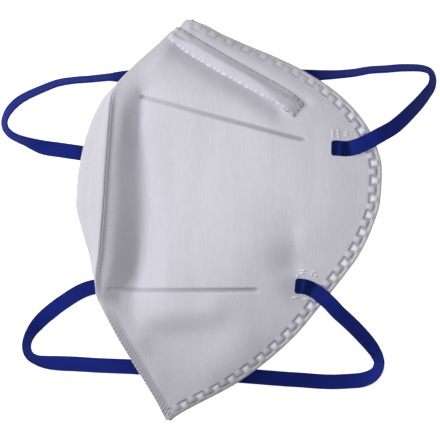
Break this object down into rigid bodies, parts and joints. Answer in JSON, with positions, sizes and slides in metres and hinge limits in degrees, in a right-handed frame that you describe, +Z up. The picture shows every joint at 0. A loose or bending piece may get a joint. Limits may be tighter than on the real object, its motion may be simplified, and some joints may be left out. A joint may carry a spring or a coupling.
{
  "type": "respirator mask",
  "caption": "Vertical flat-fold respirator mask, slightly opened and lying on its left panel, with a nose-wire channel and flat elastic headbands.",
  "frame": {"origin": "on the table under the middle of the mask, without its headbands", "axes": "+X from the front seam to the open face side, +Y from the chin tip to the nose tip, +Z up from the table"},
  "size_m": [0.174, 0.1584, 0.0311],
  "materials": {
    "shell": "white spunbond nonwoven, matt, with welded patterns",
    "nose_channel": "white nonwoven welded over a nose wire",
    "headband": "dark blue flat woven elastic"
  },
  "bodies": {
    "root": {"right_panel": "shell", "left_panel": "shell", "right_nose_strip": "nose_channel", "left_nose_strip": "nose_channel", "upper_headband": "headband", "lower_headband": "headband"}
  },
  "joints": []
}
